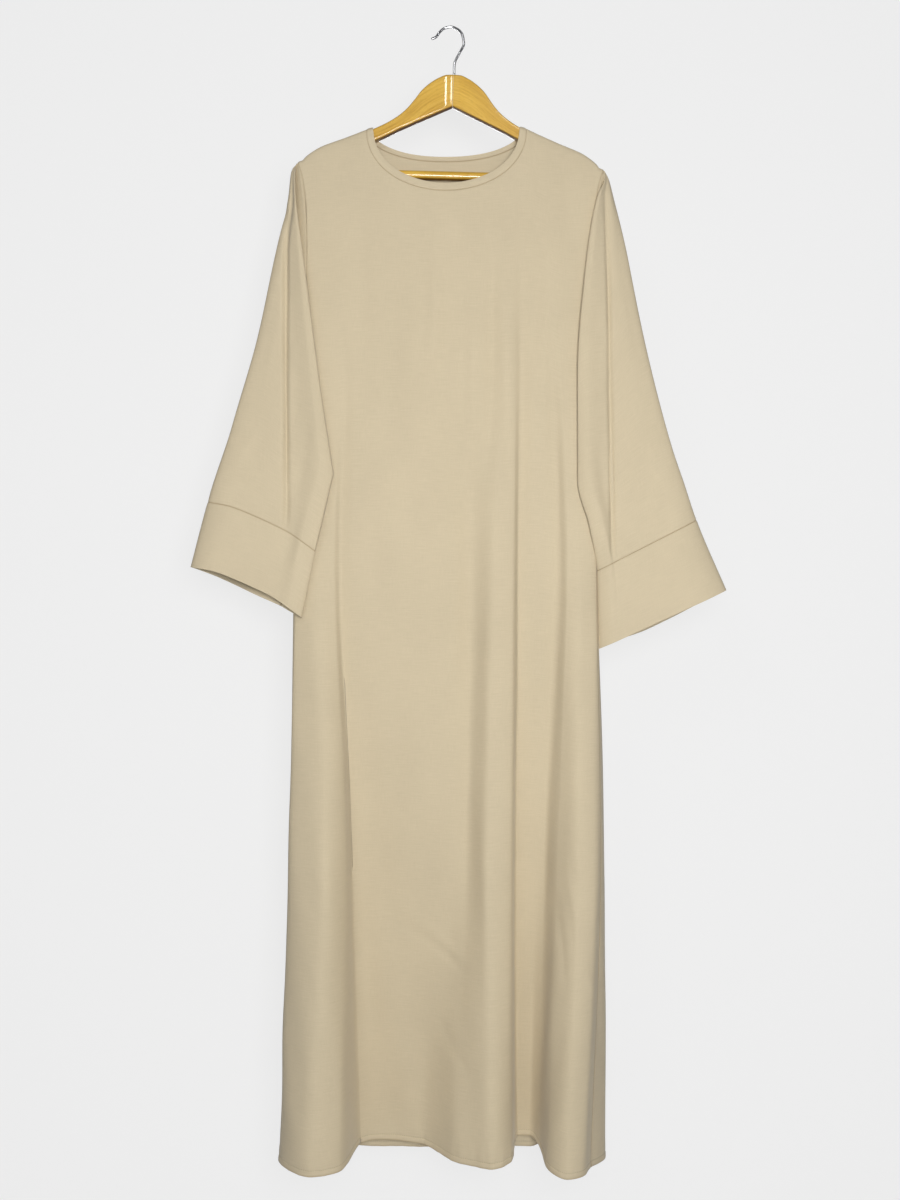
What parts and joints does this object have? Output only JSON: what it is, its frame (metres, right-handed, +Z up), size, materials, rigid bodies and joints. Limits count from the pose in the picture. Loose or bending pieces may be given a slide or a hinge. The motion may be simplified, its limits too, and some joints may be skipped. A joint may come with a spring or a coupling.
{
  "type": "abaya on a wooden clothes hanger",
  "caption": "Long plain beige abaya with long cuffed sleeves and a scooped banded neck, hanging in soft folds from a wooden hanger with a wire hook.",
  "frame": {"origin": "inside top of the hook, where the rod that holds the hanger bears", "axes": "+Z up along the hanging length, +Y from the garment's front to its back, +X towards the wearer's left"},
  "size_m": [0.7204, 0.1634, 1.5404],
  "materials": {
    "crepe": "matte woven crepe",
    "wood": "clear gloss varnish",
    "wire": "bright plated wire"
  },
  "bodies": {
    "root": {"front_panel": "crepe", "back_panel": "crepe", "sleeve_right": "crepe", "sleeve_left": "crepe", "cuff_right": "crepe", "cuff_left": "crepe", "neckband": "crepe", "hanger_arm_left": "wood", "hanger_arm_right": "wood", "hanger_bar": "wood", "hanger_hook": "wire"}
  },
  "joints": []
}
